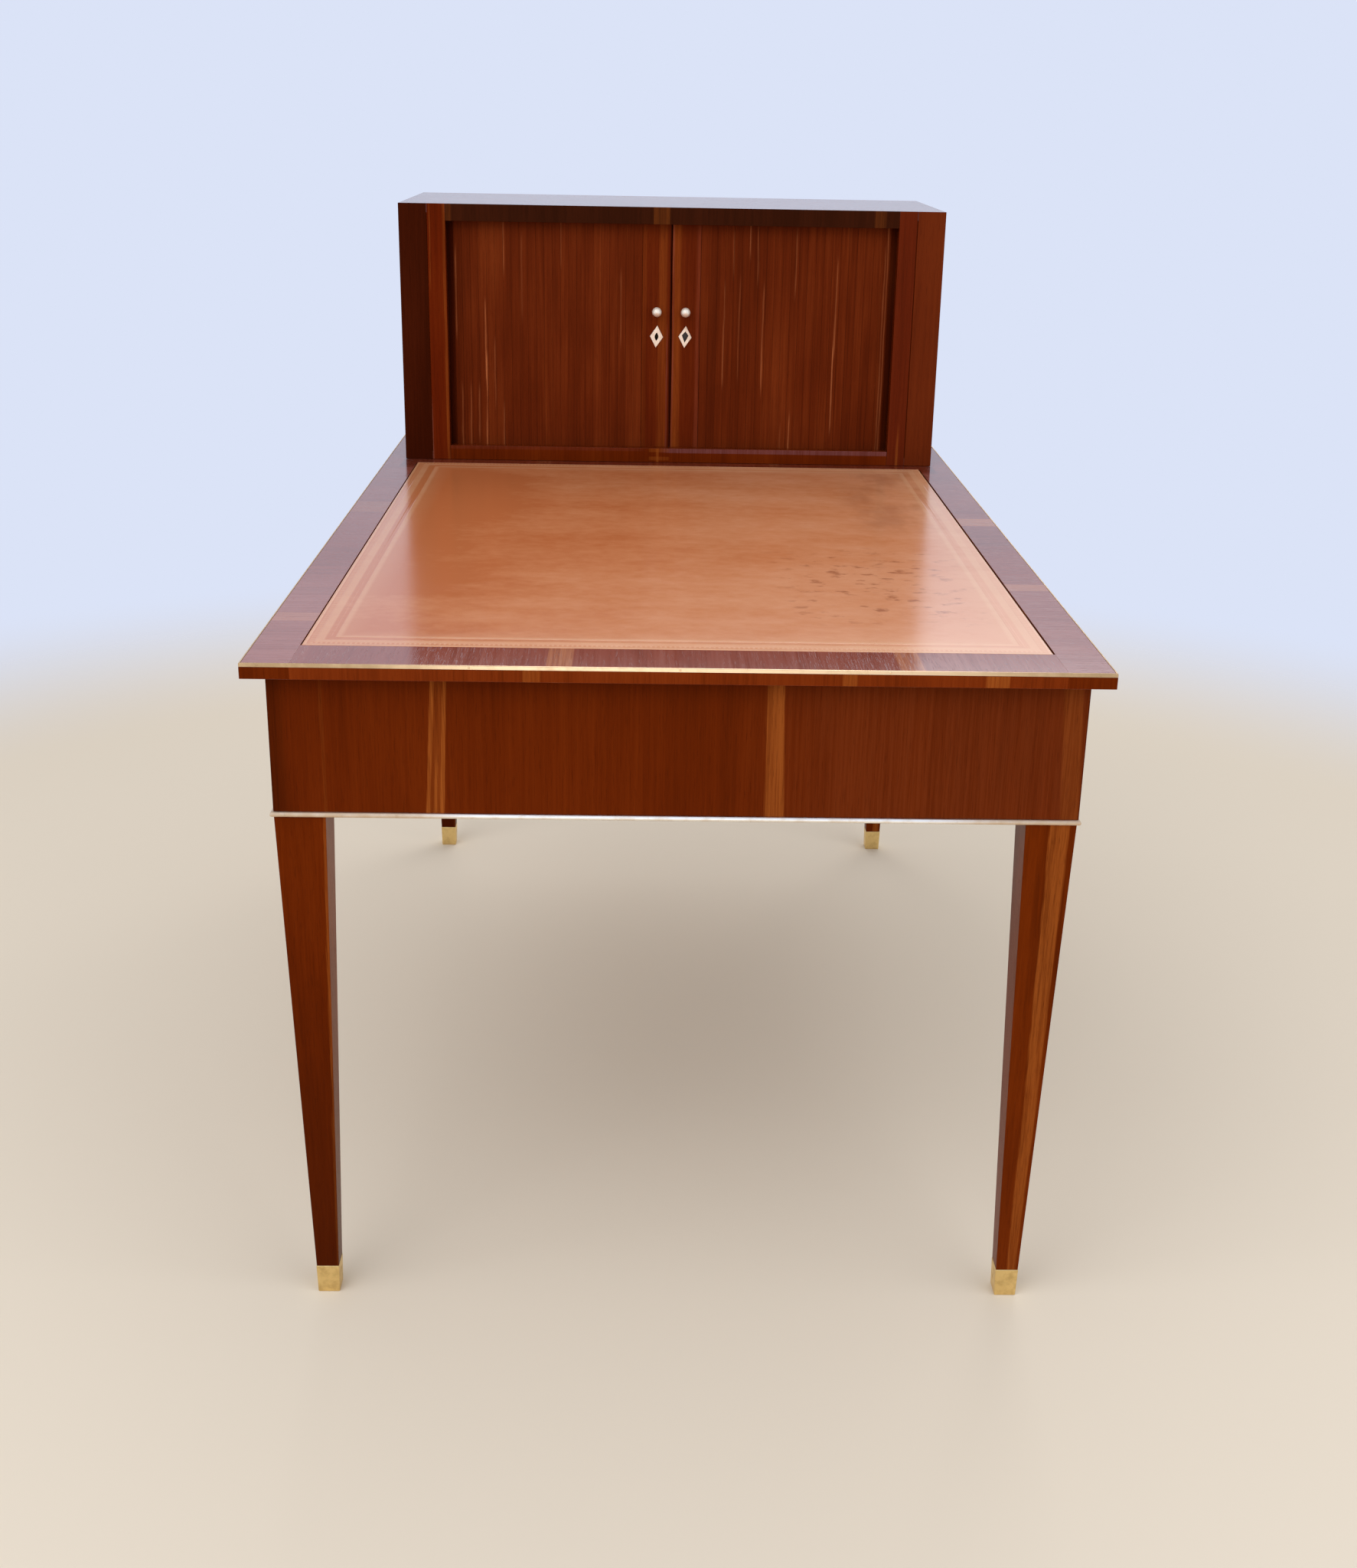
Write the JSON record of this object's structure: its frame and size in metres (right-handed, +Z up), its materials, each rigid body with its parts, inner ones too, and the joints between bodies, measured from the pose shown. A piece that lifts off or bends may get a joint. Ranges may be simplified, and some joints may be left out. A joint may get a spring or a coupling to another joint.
{
  "type": "writing desk with file cabinet",
  "caption": "Mahogany flat-topped writing desk on tapered legs, with a leather surface, frieze drawers and a low file cabinet with tambour doors on its far end.",
  "frame": {"origin": "on the floor, under the middle of the desk top", "axes": "+Z up, +Y along the desk from the near end towards the file cabinet, +X across it, to the right as one faces the cabinet doors"},
  "size_m": [0.9, 1.5, 1.1738],
  "materials": {
    "mahogany": "high French polish over straight-grained red-brown veneer",
    "dark_mahogany": "high French polish, darker and older veneer",
    "oak": "bare secondary timber",
    "leather": "semi-gloss tan hide with gilt-tooled border lines",
    "brass": "polished, lightly worn",
    "steel": "dull lock case"
  },
  "bodies": {
    "desk": {"top_panel": "oak", "top_border_near": "mahogany", "top_border_far": "mahogany", "top_border_left": "mahogany", "top_border_right": "mahogany", "leather_top": "leather", "top_brass_edge": "brass", "leg_near_left": "mahogany", "leg_near_right": "mahogany", "leg_far_left": "mahogany", "leg_far_right": "mahogany", "sabot_near_left": "brass", "sabot_near_right": "brass", "sabot_far_left": "brass", "sabot_far_right": "brass", "apron_near": "mahogany", "apron_far": "mahogany", "apron_right": "mahogany", "drawer_rail_upper": "mahogany", "drawer_rail_lower": "mahogany", "drawer_post_1": "mahogany", "drawer_post_2": "mahogany", "frieze_bead": "brass", "drawer_bearer_1": "oak", "drawer_bearer_2": "oak", "drawer_bearer_3": "oak", "drawer_bearer_4": "oak", "cabinet_bottom": "mahogany", "cabinet_top": "mahogany", "cabinet_side_left": "mahogany", "cabinet_side_right": "mahogany", "cabinet_back": "oak", "cabinet_stile_left": "dark_mahogany", "cabinet_stile_right": "dark_mahogany", "cabinet_rail_top": "mahogany", "cabinet_sill": "mahogany", "cabinet_shelf": "oak", "tambour_lining_left": "oak", "tambour_lining_right": "oak", "tambour_left": "mahogany", "tambour_right": "mahogany"},
    "drawer_1": {"drawer_1_front": "mahogany", "drawer_1_box": "oak", "drawer_1_bottom": "oak", "drawer_1_knob": "brass"},
    "drawer_2": {"drawer_2_front": "mahogany", "drawer_2_box": "oak", "drawer_2_bottom": "oak", "drawer_2_knob": "brass"},
    "drawer_3": {"drawer_3_front": "mahogany", "drawer_3_box": "oak", "drawer_3_bottom": "oak", "drawer_3_knob": "brass"},
    "left_door_lead": {"tambour_stile_left": "mahogany", "tambour_knob_left": "brass", "tambour_escutcheon_left": "brass"},
    "right_door_lead": {"tambour_stile_right": "mahogany", "tambour_knob_right": "brass", "tambour_escutcheon_right": "brass", "tambour_lock": "steel"}
  },
  "joints": [
    {"name": "drawer_1_slide", "type": "slide", "parent": "desk", "child": "drawer_1", "axis": [-1, 0, 0], "range_m": [0, 0.4]},
    {"name": "drawer_2_slide", "type": "slide", "parent": "desk", "child": "drawer_2", "axis": [-1, 0, 0], "range_m": [0, 0.4]},
    {"name": "drawer_3_slide", "type": "slide", "parent": "desk", "child": "drawer_3", "axis": [-1, 0, 0], "range_m": [0, 0.4]},
    {"name": "left_door_slide", "type": "slide", "parent": "desk", "child": "left_door_lead", "axis": [-1, 0, 0], "range_m": [0, 0.3], "deforming": ["tambour_left"]},
    {"name": "right_door_slide", "type": "slide", "parent": "desk", "child": "right_door_lead", "axis": [1, 0, 0], "range_m": [0, 0.3], "deforming": ["tambour_right"]}
  ]
}
